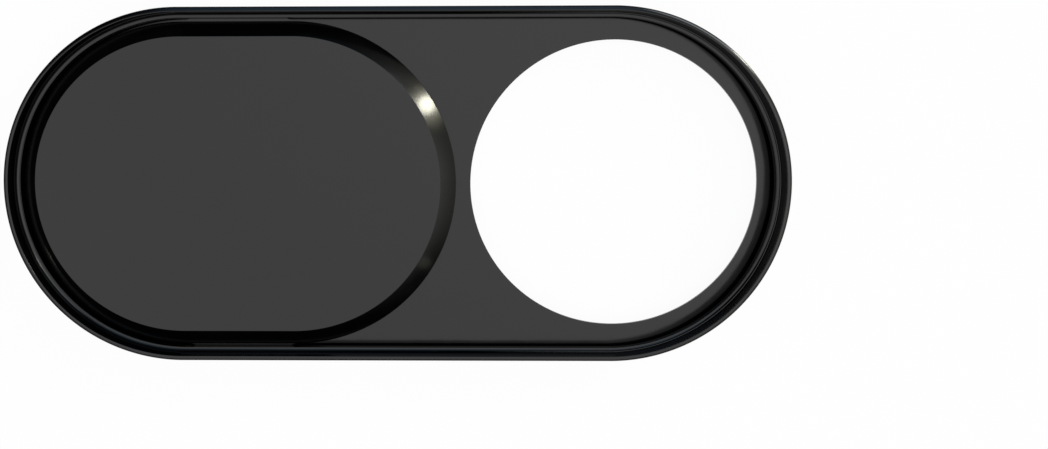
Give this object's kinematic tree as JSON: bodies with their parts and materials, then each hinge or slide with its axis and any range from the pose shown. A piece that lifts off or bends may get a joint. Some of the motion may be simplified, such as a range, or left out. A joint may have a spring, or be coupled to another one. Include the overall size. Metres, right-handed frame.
{
  "type": "webcam cover slider",
  "caption": "Shallow oval tray with a raised rim and a round camera window, and a bevelled plate whose tongues slide in a groove under the rim to cover the lens; adhesive back.",
  "frame": {"origin": "middle of the tray's outline, on the adhesive face that sticks to the screen's frame", "axes": "+X along the tray from the parked plate towards the camera window, +Y across the tray, +Z away from the screen"},
  "size_m": [0.0176, 0.0078, 0.001],
  "materials": {
    "black_plastic": "glossy black moulded plastic",
    "adhesive_tape": "matt dark grey acrylic foam tape"
  },
  "bodies": {
    "tray": {"base_tray": "black_plastic", "adhesive_pad": "adhesive_tape"},
    "plate": {"slider_plate": "black_plastic"}
  },
  "joints": [
    {"name": "plate_slide", "type": "slide", "parent": "tray", "child": "plate", "axis": [1, 0, 0], "range_m": [0, 0.00711]}
  ]
}
